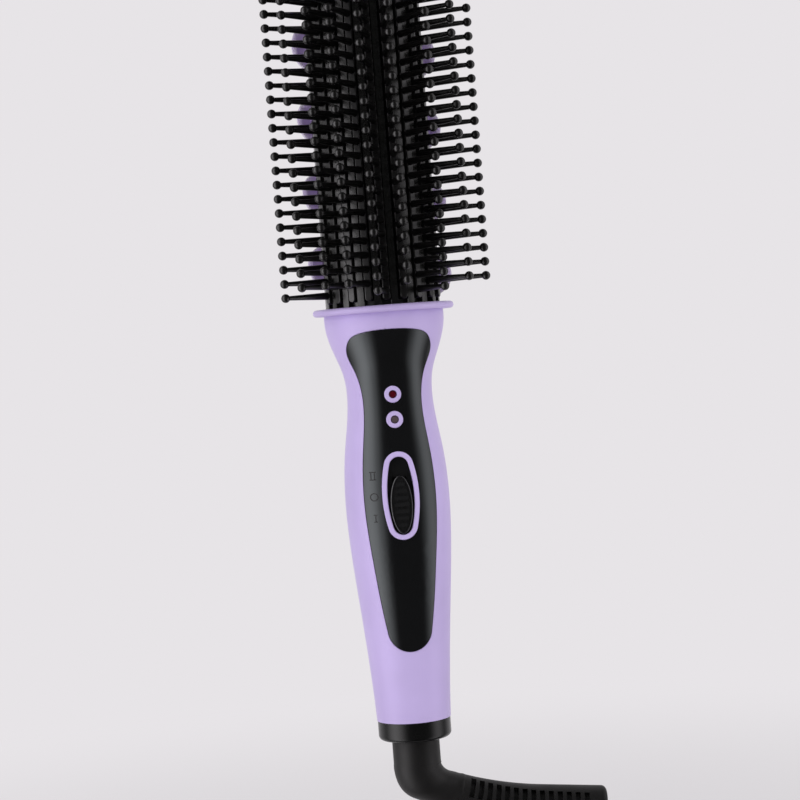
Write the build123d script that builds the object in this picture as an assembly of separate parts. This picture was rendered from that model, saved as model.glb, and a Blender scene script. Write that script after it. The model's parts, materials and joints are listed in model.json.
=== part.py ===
from build123d import *
import math
import os

# Heated round styling brush with a swivelling cord boot. All lengths are in millimetres.
# +Z runs along the brush axis towards the tip, the control panel faces -Y and the boot points
# towards +X. The origin is on the axis, in the middle of the hand grip.
# A "depth" is measured down from the collar's top face and a "height" up from it. "In front" is
# the distance from the axis towards -Y. Angles go round the axis from the front, positive to +X.

# ---- driving dimensions: handle -------------------------------------------------------------
GRIP_TO_COLLAR = 62.0  # origin to the collar's top face
COLLAR_THICKNESS = 2.0
COLLAR_RADIUS = 20.7
COLLAR_BORE = 12.4
COLLAR_SPIGOT_RADIUS = 14.2
COLLAR_SPIGOT_DEPTH = 8.5
BOARD_BOTTOM_DEPTH = 84.0  # lower end of the circuit board; what lies below follows it
SCREW_BELOW_BOARD = 4.0
SPRINGS_BELOW_SCREW = 7.5
CARRIER_BELOW_SPRING_TOPS = 1.5
CARRIER_THICKNESS = 4.0
TUBE_BELOW_CARRIER = 4.5
FIRST_SLIP_RING_DROP = 0.5
SLIP_RING_PITCH = 3.4
SLIP_RING_LENGTH = 2.0
SPIGOT_BELOW_SLIP_RINGS = 1.2
RETAINER_THICKNESS = 4.6
RETAINER_RISE = 0.8  # from the retainer's top up to the end cap's spigot
LEDGE_THICKNESS = 5.5
NECK_INTO_CAP = 4.2
END_CAP_LENGTH = 5.8
STEM_INTO_NECK = 7.0
NECK_BELOW_CAP = 7.5  # straight part of the neck that shows
SHELL_SCREW_DEPTHS = (17.0, BOARD_BOTTOM_DEPTH + SCREW_BELOW_BOARD)
SPRING_TOP_DEPTH = SHELL_SCREW_DEPTHS[1] + SPRINGS_BELOW_SCREW
CARRIER_TOP_DEPTH = SPRING_TOP_DEPTH + CARRIER_BELOW_SPRING_TOPS
CARRIER_BOTTOM_DEPTH = CARRIER_TOP_DEPTH + CARRIER_THICKNESS
STEM_TUBE_TOP_DEPTH = CARRIER_BOTTOM_DEPTH + TUBE_BELOW_CARRIER
UPPER_SLIP_RING_DEPTH = STEM_TUBE_TOP_DEPTH + FIRST_SLIP_RING_DROP
SLIP_RING_DEPTHS = (UPPER_SLIP_RING_DEPTH, UPPER_SLIP_RING_DEPTH + SLIP_RING_PITCH)
END_CAP_SPIGOT_DEPTH = SLIP_RING_DEPTHS[1] + SLIP_RING_LENGTH + SPIGOT_BELOW_SLIP_RINGS
LEDGE_TOP_DEPTH = END_CAP_SPIGOT_DEPTH + RETAINER_THICKNESS + RETAINER_RISE
NECK_TOP_DEPTH = LEDGE_TOP_DEPTH + LEDGE_THICKNESS
END_CAP_DEPTH = NECK_TOP_DEPTH + NECK_INTO_CAP
TAIL_DEPTH = END_CAP_DEPTH - END_CAP_LENGTH
STEM_TUBE_BOTTOM_DEPTH = NECK_TOP_DEPTH + STEM_INTO_NECK
ELBOW_DEPTH = END_CAP_DEPTH + NECK_BELOW_CAP  # where the neck begins to bend
# Outer form of the handle as (depth, radius): mouth, cup, waist, belly and tail.
HANDLE_PROFILE = (
    (COLLAR_THICKNESS, 17.5),
    (8.4, 16.95),
    (14.9, 14.75),
    (19.5, 13.2),
    (25.0, 12.55),
    (31.3, 12.85),
    (42.2, 14.4),
    (57.0, 15.35),
    (72.0, 14.75),
    (90.4, 13.15),
    (105.3, 11.9),
    (TAIL_DEPTH, 10.9),
)
HANDLE_WALL = 2.4
RIB_DEPTH = 9.2  # half-rings inside the shells that hold the barrel's foot
RIB_THICKNESS = 1.2

# Control panel, an inlay in the front shell: half outline as (half width, depth).
PANEL_OUTLINE = (
    (0.0, 7.1),
    (7.9, 7.7),
    (10.95, 9.0),
    (12.15, 12.2),
    (10.3, 18.1),
    (8.4, 27.3),
    (9.65, 42.7),
    (10.35, 56.1),
    (8.9, 75.4),
    (7.4, 88.0),
    (6.25, 95.4),
)
PANEL_PROUD = 0.25
PANEL_INLAY = 1.2
PANEL_SEAM = 0.16

# Indicator lamps
INDICATOR_DEPTHS = (25.85, 33.15)
RING_RADIUS = 2.45
RING_BORE = 1.2
RING_SLEEVE_RADIUS = 1.7
RING_PROUD = 0.55
LENS_RADIUS = 1.15
LENS_SUNK = 0.35
LED_RADIUS = 1.5
LED_LENGTH = 3.8

# Slide switch: bezel, well, knob and the switch behind them
SWITCH_DEPTH = 55.1
BEZEL_HALF_WIDTH = 5.35
BEZEL_HALF_LENGTH = 12.75
BEZEL_BAND = 1.5
BEZEL_PROUD = 0.7
BEZEL_END_RADIUS = 4.3
BEZEL_EDGE_ROUND = 0.3
WELL_WALL = 0.8
WELL_FLOOR_FRONT = 13.4  # front of the well's floor, in front of the axis
WELL_FLOOR_THICKNESS = 1.0
KNOB_HALF_WIDTH = 3.15
KNOB_FRONT = 16.5
KNOB_RIM = 0.45
KNOB_DISH = 0.55
KNOB_RIDGES = 7
KNOB_RIDGE_PITCH = 1.95
KNOB_RIDGE_WIDTH = 1.1
KNOB_TRAVEL = 5.1
KNOB_END_GAP = 0.3
STEM_WIDTH = 3.6
STEM_LENGTH = 5.0
KNOB_FOOT_WIDTH = 6.0
KNOB_FOOT_LENGTH = 8.0
KNOB_FOOT_THICKNESS = 0.8
LEVER_SIDE = 2.0
SLIDE_GAP = 0.3  # clearance round the stem and the lever

# Circuit board
BOARD_ABOVE_LAMPS = 1.85
BOARD_TOP_DEPTH = INDICATOR_DEPTHS[0] - BOARD_ABOVE_LAMPS
BOARD_WIDTH = 15.0
BOARD_THICKNESS = 1.6
BOARD_FRONT = 5.6
BOARD_SCREW_INSETS = (16.5, 5.0)  # from the board's upper and lower ends
BOARD_SCREW_DEPTHS = (BOARD_TOP_DEPTH + BOARD_SCREW_INSETS[0], BOARD_BOTTOM_DEPTH - BOARD_SCREW_INSETS[1])
SWITCH_BODY = (8.0, 4.2, 20.0)  # width, thickness, length
POST_RADIUS = 2.6
BOARD_SCREW_RADIUS = 1.0

# Screws that join the two shells, driven from the back
SHELL_SCREW_RADIUS = 1.4
SHELL_SCREW_HEAD_RADIUS = 2.4
SHELL_SCREW_HEAD_THICKNESS = 1.6
SHELL_SCREW_REACH = 8.0
BOSS_RADIUS = 2.9
SCREW_GAP = 0.1

# ---- driving dimensions: head ---------------------------------------------------------------
BARREL_RADIUS = 16.8
BARREL_BORE = 12.4
BARREL_LENGTH = 114.0
GROOVE_WIDTH = 2.8
GROOVE_FLARE = 0.2  # bevel along both edges of a groove
GROOVE_FLOOR_RADIUS = 14.9
STRIP_PITCH = 360 / 21  # degrees from one strip to the next, the middle one at the front
# Where the balls of each strip stand: the long bristles lean a few degrees to one side.
BALL_ANGLES = (-63.7, -48.7, -33.1, -20.4, -5.8, 9.5, 30.0, 48.0, 68.0)
STRIP_ANGLES = [(index - (len(BALL_ANGLES) - 1) / 2) * STRIP_PITCH for index in range(len(BALL_ANGLES))]
LOW_STRIPS = (0, 4, 6)  # strips whose first bristle is the lower of the two heights
FIRST_BRISTLE_LOW = 3.9
FIRST_BRISTLE_HIGH = 6.4
BRISTLE_PITCH = 4.07
STRIP_WIDTH = 2.2
STRIP_RADIUS = 17.6  # outer face of a strip, from the axis
STRIP_END_GAP = 1.3
STRIP_SHIFT = 0.1  # each strip sits nearer to one wall of its groove
STRIP_EDGE_ROUND = 0.35
BRISTLE_ROOT_RADIUS = 1.1
BRISTLE_SUNK = 0.5  # how far a shaft starts inside its strip
BRISTLE_NECK_RADIUS = 0.62
BALL_RADIUS = 1.3
BALL_CENTRE_RADIUS = 32.0

# Rear heat guard with two wave-shaped side edges
GUARD_RADIUS = 21.1
GUARD_WALL = 1.6
GUARD_END_GAP = 1.2
GUARD_WAVE_PITCH = 21.6
GUARD_EDGE_WIDE = 20.95  # half width at a crest
GUARD_EDGE_NARROW = 15.2  # half width at a trough
GUARD_CREST_LEFT = 13.2  # height of the first crest on the left edge
GUARD_CREST_RIGHT = 8.0  # and on the right edge
GUARD_FIN_ANGLES = (138.0, 180.0, 222.0)
GUARD_FIN_THICKNESS = 1.6
GUARD_TO_BARREL = 0.3

# Tip
TIP_RING_RADIUS = 19.8
TIP_RING_THICKNESS = 2.4
TIP_CAP_RADIUS = 16.4
TIP_CAP_LENGTH = 15.0
TIP_CAP_WALL = 2.2
TIP_NOSE_RADIUS = 7.0
TIP_SCREW_RADIUS = 1.5
TIP_SCREW_HEAD_RADIUS = 2.8

# Inside the barrel
FOOT_RADIUS = 12.3
FOOT_HEIGHT = 8.0
FOOT_DEPTH = 13.0
FOOT_GROOVE_RADIUS = 11.2
FOOT_BORE = 8.5
FOOT_WEB = 3.0  # thickness of the web that the heater leads pass
HEAD_PLUG_LENGTH = 9.0
SPREADER_LOW = 13.0
SPREADER_BELOW_PLUG = 4.0
SPREADER_HIGH = BARREL_LENGTH - HEAD_PLUG_LENGTH - SPREADER_BELOW_PLUG
STONE_SIZE = (12.0, 2.2, 22.0)
STONE_COUNT = 3
STONE_GAP = 1.5
ELECTRODE_THICKNESS = 0.4
ELECTRODE_WIDTH = 13.0
FILM_THICKNESS = 0.3
TAB_WIDTH = 3.0
TAB_OFFSET = 4.5
FUSE_RADIUS = 1.3
FUSE_LENGTH = 11.0
FUSE_FRONT = 7.4
BARREL_SCREW_HEIGHT = 4.0
BARREL_SCREW_RADIUS = 1.1
BARREL_SCREW_HEAD_RADIUS = 1.9
BARREL_SCREW_ANGLES = (104.0, -104.0)

# ---- driving dimensions: swivel and boot ----------------------------------------------------
END_CAP_RADIUS = 10.75
END_CAP_ROUND = 1.4
END_CAP_SPIGOT_RADIUS = 8.2
NECK_RADIUS = 7.0
NECK_FIT = 0.08
STEM_TUBE_RADIUS = 5.5
STEM_TUBE_BORE = 3.2
STEM_TUBE_SPIGOT_RADIUS = 4.45
RETAINER_RADIUS = 6.85
SLIP_RING_RADIUS = 6.1
SPRING_THICKNESS = 0.4
SPRING_WIDTH = 3.0
SPRING_GAP = 0.15
CARRIER_RADIUS = 9.2

ELBOW_RADIUS = 8.0
ELBOW_TURN = 67.5
BOOT_CURVE_RADIUS = 110.0
BOOT_CURVE_TURN = 17.2
BOOT_END_LENGTH = 18.4  # straight last stretch of the boot
# Round sections of the elbow as (x, distance below its start, tilt out of the level, radius)
ELBOW_SECTIONS = (
    (0.0, 0.0, 0.0, 7.0),
    (0.02, 1.5, 8.0, 7.05),
    (0.32, 3.0, 15.9, 7.05),
    (1.28, 4.9, 23.7, 7.0),
    (2.7, 6.3, 31.2, 6.7),
    (4.6, 7.3, 38.9, 6.2),
    (6.43, 8.08, 47.8, 5.91),
    (8.38, 8.84, 57.1, 5.67),
    (10.3, 9.52, 65.4, 5.53),
)
# Section radius of the boot as (distance along it from the start of the elbow, radius)
BOOT_TAPER = (
    (17.1, 5.45),
    (25.5, 5.4),
    (34.0, 5.35),
    (42.5, 5.3),
)
BOOT_END_RADIUS = 5.05
BOOT_END_ROUND = 1.5
CORD_BORE_RADIUS = 3.05
SLOT_COUNT = 14
SLOT_PITCH = 2.67
SLOT_FIRST = 19.8  # along the boot from the start of the elbow
SLOT_WIDTH = 1.5
SLOT_LENGTH = 5.0
SLOT_BELOW_TOP = (0.35, 1.7)  # at the first slot and at the last
SLOT_CORE_RADIUS = 3.9  # round core left within the slots
SLOT_WEB = 3.2  # thickness left between the slots of the two sides above the core

# ---- general --------------------------------------------------------------------------------
CUT = 1.0  # how far a cutting shape runs past what it cuts
FAR = 90.0  # beyond the handle in any direction
FIT = 0.05  # clearance of fixed pieces that fit round one another
WIRE_RADIUS = 0.8
LEAD_INSET = 5.0  # from the board's lower end to where the mains leads join it


# ---- helpers --------------------------------------------------------------------------------
def down(depth):
    """Z of a depth below the collar's top face."""
    return GRIP_TO_COLLAR - depth


def up(height):
    """Z of a height above the collar's top face."""
    return GRIP_TO_COLLAR + height


def bar(radius, low, high):
    """Upright round bar on the axis between two Z values."""
    return Pos(0, 0, (low + high) / 2) * Cylinder(radius, high - low)


def tube(outer, inner, low, high):
    """Upright tube on the axis between two Z values."""
    return bar(outer, low, high) - bar(inner, low - CUT, high + CUT)


def block(x, front, z):
    """Box from three (low, high) pairs; the middle one is the distance in front of the axis."""
    size = (x[1] - x[0], front[1] - front[0], z[1] - z[0])
    return Pos((x[0] + x[1]) / 2, -(front[0] + front[1]) / 2, (z[0] + z[1]) / 2) * Box(*size)


def peg(radius, x, z, near, far):
    """Round bar along Y at x and z, between two distances in front of the axis."""
    centre = Pos(x, -(near + far) / 2, z)
    return centre * Rot(90, 0, 0) * Cylinder(radius, abs(far - near))


def facing(face, near, far):
    """Extrudes a face drawn in the plane of X and Z between two distances in front of the axis."""
    return extrude(Pos(0, -near, 0) * face, amount=far - near, dir=(0, -1, 0))


def oval(half_width, half_length, end_radius, z):
    """Face of four arcs that run smoothly into each other, in the plane of X and Z."""
    rise = half_length - end_radius
    side_radius = (half_width**2 + rise**2 - end_radius**2) / (2 * (half_width - end_radius))
    away = side_radius - half_width  # from the axis to the far side arc's centre
    share = side_radius / (side_radius - end_radius)
    join_x, join_z = away * share - away, rise * share
    arcs = []
    for side in (1, -1):
        corners = [(side * join_x, 0, z + end * join_z) for end in (1, -1)]
        arcs.append(ThreePointArc(corners[0], (side * half_width, 0, z), corners[1]))
        end = side * half_length
        level = z + side * join_z
        arcs.append(ThreePointArc((join_x, 0, level), (0, 0, z + end), (-join_x, 0, level)))
    return make_face(Curve() + arcs)


def ellipse(half_width, half_length, z):
    """Ellipse in the plane of X and Z."""
    return Pos(0, 0, z) * (Plane.XZ * Ellipse(half_width, half_length))


def turned(outline):
    """Solid turned about the axis from a closed outline of (radius, z)."""
    corners = [(radius, 0, z) for radius, z in outline]
    return revolve(make_face(Polyline(*corners, close=True)), Axis.Z)


def round_the_axis(shape, angle):
    """Turns a shape that was made at the front round to an angle."""
    return Rot(0, 0, angle) * shape


def handle_body(grow, overrun=0.0):
    """Solid handle form grown outwards by a distance, its ends carried on by overrun."""
    side = [(radius + grow, 0, down(depth)) for depth, radius in HANDLE_PROFILE]
    top, bottom = side[0], side[-1]
    high, low = top[2] + overrun, bottom[2] - overrun
    start = [(0, 0, low), (bottom[0], 0, low)] + ([bottom] if overrun else [])
    finish = ([top] if overrun else []) + [(top[0], 0, high), (0, 0, high)]
    outline = [Polyline(*start) if overrun else Line(*start), Spline(*reversed(side))]
    closing = Polyline(*finish, start[0]) if overrun else Polyline(top, (0, 0, high), start[0])
    return revolve(make_face(Curve() + outline + [closing]), Axis.Z)


def handle_radius(depth):
    """Outer radius of the handle at a depth, read between the stations of its profile."""
    for (d0, r0), (d1, r1) in zip(HANDLE_PROFILE, HANDLE_PROFILE[1:]):
        if d0 <= depth <= d1:
            return r0 + (r1 - r0) * (depth - d0) / (d1 - d0)
    return HANDLE_PROFILE[-1][1]


def panel_face(grow=0.0):
    """Outline of the control panel with its rounded foot, grown by a small distance."""
    half = [(x, down(depth)) for x, depth in PANEL_OUTLINE]
    points = [(-x, z) for x, z in reversed(half[1:])] + half
    last = len(points) - 1
    grown = []
    for index, (x, z) in enumerate(points):
        before, after = points[max(index - 1, 0)], points[min(index + 1, last)]
        run, rise = after[0] - before[0], after[1] - before[1]
        share = grow / math.hypot(run, rise)
        grown.append((x - rise * share, 0, z + run * share))
    side = Spline(*grown)
    foot = TangentArc(side @ 1, side @ 0, tangent=side % 1)
    return Face(Wire([side, foot]))


def front_half():
    """Everything in front of the plane where the two shells meet."""
    return block((-FAR, FAR), (0, FAR), (-FAR, FAR))


def back_half():
    """Everything behind the plane where the two shells meet."""
    return block((-FAR, FAR), (-FAR, 0), (-FAR, FAR))


# ---- handle ---------------------------------------------------------------------------------
BOARD_BACK = BOARD_FRONT - BOARD_THICKNESS
WELL_FLOOR_BACK = WELL_FLOOR_FRONT - WELL_FLOOR_THICKNESS
WELL_HALF_WIDTH = BEZEL_HALF_WIDTH - BEZEL_BAND
WELL_HALF_LENGTH = BEZEL_HALF_LENGTH - BEZEL_BAND
KNOB_HALF_LENGTH = WELL_HALF_LENGTH - KNOB_END_GAP - KNOB_TRAVEL / 2
KNOB_DEPTH = SWITCH_DEPTH + KNOB_TRAVEL / 2
KNOB_FOOT_FRONT = WELL_FLOOR_BACK - SLIDE_GAP
KNOB_FOOT_BACK = KNOB_FOOT_FRONT - KNOB_FOOT_THICKNESS
SWITCH_BODY_FRONT = BOARD_FRONT + SWITCH_BODY[1]
LED_FRONT = BOARD_FRONT + LED_LENGTH


def hollow_handle():
    return handle_body(0) - handle_body(-HANDLE_WALL, overrun=CUT)


def inner_rib():
    """Half-rings that grip the groove of the barrel's foot."""
    low, high = down(RIB_DEPTH + RIB_THICKNESS), down(RIB_DEPTH)
    reach = bar(COLLAR_RADIUS, low, high) & handle_body(-HANDLE_WALL / 2)
    return reach - bar(FOOT_GROOVE_RADIUS + 2 * FIT, low - CUT, high + CUT)


def front_shell():
    shell = (hollow_handle() + inner_rib()) & front_half()
    room = handle_body(-HANDLE_WALL / 2)
    for depth in SHELL_SCREW_DEPTHS:
        boss = peg(BOSS_RADIUS, 0, down(depth), 0, FAR / 2) & room
        shell += boss - peg(SHELL_SCREW_RADIUS + FIT, 0, down(depth), -CUT, SHELL_SCREW_REACH + CUT)
    pocket = handle_body(COLLAR_THICKNESS) - handle_body(-PANEL_INLAY)
    shell -= pocket & facing(panel_face(PANEL_SEAM), 0, FAR)
    shell -= facing(well_face(WELL_WALL + FIT), BOARD_FRONT, FAR)
    for depth in INDICATOR_DEPTHS:
        shell -= peg(RING_SLEEVE_RADIUS + FIT, 0, down(depth), BOARD_FRONT, FAR)
    return shell


def screw_seat(depth):
    """Distance behind the axis at which a shell screw's head seats."""
    return handle_radius(depth) - HANDLE_WALL - SHELL_SCREW_HEAD_THICKNESS


def rear_shell():
    shell = (hollow_handle() + inner_rib()) & back_half()
    room = handle_body(-HANDLE_WALL / 2)
    for depth in SHELL_SCREW_DEPTHS:
        shell += peg(BOSS_RADIUS + 0.6, 0, down(depth), -FAR / 2, 0) & room
        shell -= peg(SHELL_SCREW_RADIUS + SCREW_GAP, 0, down(depth), -FAR / 2, CUT)
        shell -= peg(SHELL_SCREW_HEAD_RADIUS + SCREW_GAP, 0, down(depth), -FAR / 2, -screw_seat(depth))
    for depth in BOARD_SCREW_DEPTHS:
        post = peg(POST_RADIUS, 0, down(depth), -FAR / 2, BOARD_BACK)
        hole = peg(BOARD_SCREW_RADIUS + FIT, 0, down(depth), -3, BOARD_FRONT)
        shell += (post & room) - hole
    return shell


def shell_screws():
    screws = []
    for depth in SHELL_SCREW_DEPTHS:
        seat = screw_seat(depth)
        head = peg(SHELL_SCREW_HEAD_RADIUS, 0, down(depth), -seat - SHELL_SCREW_HEAD_THICKNESS, -seat)
        shank = peg(SHELL_SCREW_RADIUS, 0, down(depth), -seat, SHELL_SCREW_REACH)
        recess = facing(Pos(0, 0, down(depth)) * cross_face(2.6, 0.6), -seat - FAR / 2, -seat - 0.8)
        screws.append(head + shank - recess)
    return Compound(screws)


def cross_face(span, arm):
    """Cross recess for a screwdriver, in the plane of X and Z."""
    plate = Rectangle(span, arm) + Rectangle(arm, span)
    return Plane.XZ * plate


def collar():
    disc = bar(COLLAR_RADIUS, down(COLLAR_THICKNESS), up(0))
    disc = fillet(disc.edges().filter_by(GeomType.CIRCLE), COLLAR_THICKNESS / 2 - FIT)
    spigot = bar(COLLAR_SPIGOT_RADIUS, down(COLLAR_SPIGOT_DEPTH), down(COLLAR_THICKNESS))
    return disc + spigot - bar(COLLAR_BORE, down(COLLAR_SPIGOT_DEPTH) - CUT, up(CUT))


def switch_oval(grow=0.0):
    """Outline of the switch bezel, grown by a distance."""
    sizes = (BEZEL_HALF_WIDTH, BEZEL_HALF_LENGTH, BEZEL_END_RADIUS)
    return oval(*[size + grow for size in sizes], down(SWITCH_DEPTH))


def well_face(grow=0.0):
    """Inside of the switch bezel and of the well behind it, grown by a distance."""
    return switch_oval(grow - BEZEL_BAND)


def control_panel():
    skin = handle_body(PANEL_PROUD) - handle_body(FIT - PANEL_INLAY)
    panel = skin & facing(panel_face(), 0, FAR)
    panel -= facing(well_face(WELL_WALL + FIT), 0, FAR)
    for depth in INDICATOR_DEPTHS:
        panel -= peg(RING_SLEEVE_RADIUS + FIT, 0, down(depth), 0, FAR)
    return panel


def indicator_rings():
    rings = []
    for depth in INDICATOR_DEPTHS:
        surface = handle_body(PANEL_PROUD)
        front = handle_radius(depth) + PANEL_PROUD + RING_PROUD
        flange = peg(RING_RADIUS, 0, down(depth), 0, front)
        flange = fillet(flange.edges().group_by(Axis.Y)[0], RING_PROUD * 0.6) - surface
        back = handle_radius(depth) - HANDLE_WALL
        sleeve = peg(RING_SLEEVE_RADIUS, 0, down(depth), back, front - RING_PROUD / 2)
        rings.append(flange + sleeve - peg(RING_BORE, 0, down(depth), 0, front + CUT))
    return Compound(rings)


def indicator_lens(depth):
    front = handle_radius(depth) + PANEL_PROUD + RING_PROUD - LENS_SUNK
    lens = peg(LENS_RADIUS, 0, down(depth), LED_FRONT, front)
    return fillet(lens.edges().group_by(Axis.Y)[0], LENS_RADIUS * 0.4)


def indicator_leds():
    leds = []
    for depth in INDICATOR_DEPTHS:
        body = peg(LED_RADIUS, 0, down(depth), BOARD_FRONT, LED_FRONT)
        leds.append(fillet(body.edges().group_by(Axis.Y)[0], LED_RADIUS * 0.8))
    return Compound(leds)


def switch_bezel():
    face = switch_oval() - well_face()
    band = handle_body(PANEL_PROUD + BEZEL_PROUD) - handle_body(PANEL_PROUD)
    bezel = band & facing(face, 0, FAR)
    front = bezel.faces().sort_by(Axis.Y)[0]
    return fillet(front.edges(), BEZEL_EDGE_ROUND)


def switch_well():
    tray = facing(well_face(WELL_WALL), WELL_FLOOR_BACK, FAR) - facing(well_face(), WELL_FLOOR_FRONT, FAR)
    tray &= handle_body(PANEL_PROUD)
    return tray - slide_slot(WELL_FLOOR_BACK - CUT, WELL_FLOOR_FRONT + CUT, STEM_WIDTH, STEM_LENGTH)


def slide_slot(back, front, width, length):
    """Slot that lets a block of this width and length travel with the knob."""
    half_width = width / 2 + SLIDE_GAP
    low = down(KNOB_DEPTH + length / 2) - SLIDE_GAP
    high = down(KNOB_DEPTH - length / 2) + KNOB_TRAVEL + SLIDE_GAP
    return block((-half_width, half_width), (back, front), (low, high))


def switch_knob():
    z = down(KNOB_DEPTH)
    back = WELL_FLOOR_FRONT + SLIDE_GAP / 2
    knob = facing(ellipse(KNOB_HALF_WIDTH, KNOB_HALF_LENGTH, z), back, KNOB_FRONT)
    knob = fillet(knob.edges().group_by(Axis.Y)[0], KNOB_RIM * 0.6)
    dish_width, dish_length = KNOB_HALF_WIDTH - KNOB_RIM, KNOB_HALF_LENGTH - KNOB_RIM
    floor = KNOB_FRONT - KNOB_DISH
    knob -= facing(ellipse(dish_width, dish_length, z), floor, KNOB_FRONT + CUT)
    for index in range(KNOB_RIDGES):
        rise = (index - (KNOB_RIDGES - 1) / 2) * KNOB_RIDGE_PITCH
        half = dish_width * math.sqrt(1 - (rise / dish_length) ** 2) - KNOB_RIM
        ridge = Plane.XZ * SlotOverall(2 * half, KNOB_RIDGE_WIDTH)
        knob += facing(Pos(0, 0, z + rise) * ridge, floor, KNOB_FRONT + KNOB_RIM / 4)
    half_width, half_length = STEM_WIDTH / 2, STEM_LENGTH / 2
    knob += block((-half_width, half_width), (KNOB_FOOT_BACK, back), (z - half_length, z + half_length))
    foot_width, foot_length = KNOB_FOOT_WIDTH / 2, KNOB_FOOT_LENGTH / 2
    foot_z = (z - foot_length, z + foot_length)
    return knob + block((-foot_width, foot_width), (KNOB_FOOT_BACK, KNOB_FOOT_FRONT), foot_z)


def slide_switch():
    width, _, length = SWITCH_BODY
    z = down(KNOB_DEPTH) + KNOB_TRAVEL / 2
    body = block((-width / 2, width / 2), (BOARD_FRONT, SWITCH_BODY_FRONT), (z - length / 2, z + length / 2))
    return body - slide_slot(lever_back() - SLIDE_GAP, FAR, LEVER_SIDE, LEVER_SIDE)


def lever_back():
    return BOARD_FRONT + SWITCH_BODY[1] / 2


def slide_lever():
    half, z = LEVER_SIDE / 2, down(KNOB_DEPTH)
    return block((-half, half), (lever_back(), KNOB_FOOT_BACK), (z - half, z + half))


def circuit_board():
    z = (down(BOARD_BOTTOM_DEPTH), down(BOARD_TOP_DEPTH))
    board = block((-BOARD_WIDTH / 2, BOARD_WIDTH / 2), (BOARD_BACK, BOARD_FRONT), z)
    for depth in BOARD_SCREW_DEPTHS:
        board -= peg(BOARD_SCREW_RADIUS + SCREW_GAP, 0, down(depth), 0, FAR)
    for depth in SHELL_SCREW_DEPTHS:
        board -= peg(BOSS_RADIUS + SLIDE_GAP, 0, down(depth), 0, FAR)
    return board


def board_screws():
    screws = []
    for depth in BOARD_SCREW_DEPTHS:
        head = peg(2 * BOARD_SCREW_RADIUS, 0, down(depth), BOARD_FRONT, BOARD_FRONT + 1.4)
        screws.append(head + peg(BOARD_SCREW_RADIUS, 0, down(depth), -2, BOARD_FRONT))
    return Compound(screws)


def wire(points, radius=WIRE_RADIUS, bend=2.4):
    """Round wire along straight runs joined by arcs."""
    path = FilletPolyline(*points, radius=bend)
    return sweep(Plane(path @ 0, z_dir=path % 0) * Circle(radius), path=path)


def heater_wires():
    """From the back of the board up through the foot to the electrodes' tabs."""
    wires = []
    for side in (-1, 1):
        tab_y = side * (STONE_SIZE[1] / 2 + ELECTRODE_THICKNESS / 2)
        x = side * TAB_OFFSET
        start = down(BOARD_TOP_DEPTH + 6)
        wires.append(
            wire(
                [
                    (x, -BOARD_BACK, start),
                    (x, tab_y, start),
                    (x, tab_y, up(SPREADER_LOW - 3)),
                ],
                bend=1.6,
            )
        )
    return Compound(wires)


def mains_wires():
    """From the contact springs up to the board: one lead to its face, the other to its back."""
    top, join = down(SPRING_TOP_DEPTH), down(BOARD_BOTTOM_DEPTH - LEAD_INSET)
    leads = ((-1, (-5.0, -6.9), (-5.0, -6.9), -BOARD_FRONT), (1, (6.2, 1.9), (6.2, 0.6), -BOARD_BACK))
    wires = []
    for side, bend, foot, face in leads:
        spring_y = side * (SLIP_RING_RADIUS + SPRING_GAP + SPRING_THICKNESS / 2)
        start = [(0, spring_y, top), (0, spring_y, top + 2.3), (*bend, top + 3.7)]
        wires.append(wire(start + [(*foot, join), (foot[0], face, join)], bend=1.2))
    return Compound(wires)


# ---- head -----------------------------------------------------------------------------------
def heater_barrel():
    barrel = tube(BARREL_RADIUS, BARREL_BORE, up(0), up(BARREL_LENGTH))
    for angle in STRIP_ANGLES:
        barrel -= round_the_axis(strip_groove(), angle)
    for angle in BARREL_SCREW_ANGLES:
        barrel -= round_the_axis(barrel_screw(SCREW_GAP), angle)
    return barrel


def strip_groove():
    """Cutting shape of one groove at the front, its mouth bevelled."""
    half, mouth = GROOVE_WIDTH / 2, BARREL_RADIUS - GROOVE_FLARE
    wide, outside = half + GROOVE_FLARE + CUT, BARREL_RADIUS + CUT
    right = [(half, -GROOVE_FLOOR_RADIUS), (half, -mouth), (wide, -outside)]
    left = [(-x, y) for x, y in reversed(right)]
    section = Pos(0, 0, up(0) - CUT) * make_face(Polyline(*right, *left, close=True))
    return extrude(section, amount=BARREL_LENGTH + 2 * CUT, dir=(0, 0, 1))


def barrel_screw(grow=0.0):
    """Screw through the barrel's wall into its foot, made at the front."""
    z = up(BARREL_SCREW_HEIGHT)
    seat = (BARREL_BORE + BARREL_RADIUS) / 2
    head = peg(BARREL_SCREW_HEAD_RADIUS + grow, 0, z, seat, BARREL_RADIUS + (CUT if grow else -0.3))
    return head + peg(BARREL_SCREW_RADIUS + grow, 0, z, FOOT_BORE + 0.6, seat)


def bristle(height, lean):
    """One bristle at the front: a tapered shaft to a ball that stands aside by an angle."""
    aside = math.radians(lean)
    root = Vector(STRIP_SHIFT, BRISTLE_SUNK - STRIP_RADIUS, up(height))
    ball = Vector(BALL_CENTRE_RADIUS * math.sin(aside), -BALL_CENTRE_RADIUS * math.cos(aside), up(height))
    run = ball - root
    shaft = Cone(BRISTLE_ROOT_RADIUS, BRISTLE_NECK_RADIUS, run.length)
    return Plane((root + ball) / 2, z_dir=run) * shaft + Pos(*ball) * Sphere(BALL_RADIUS)


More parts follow.
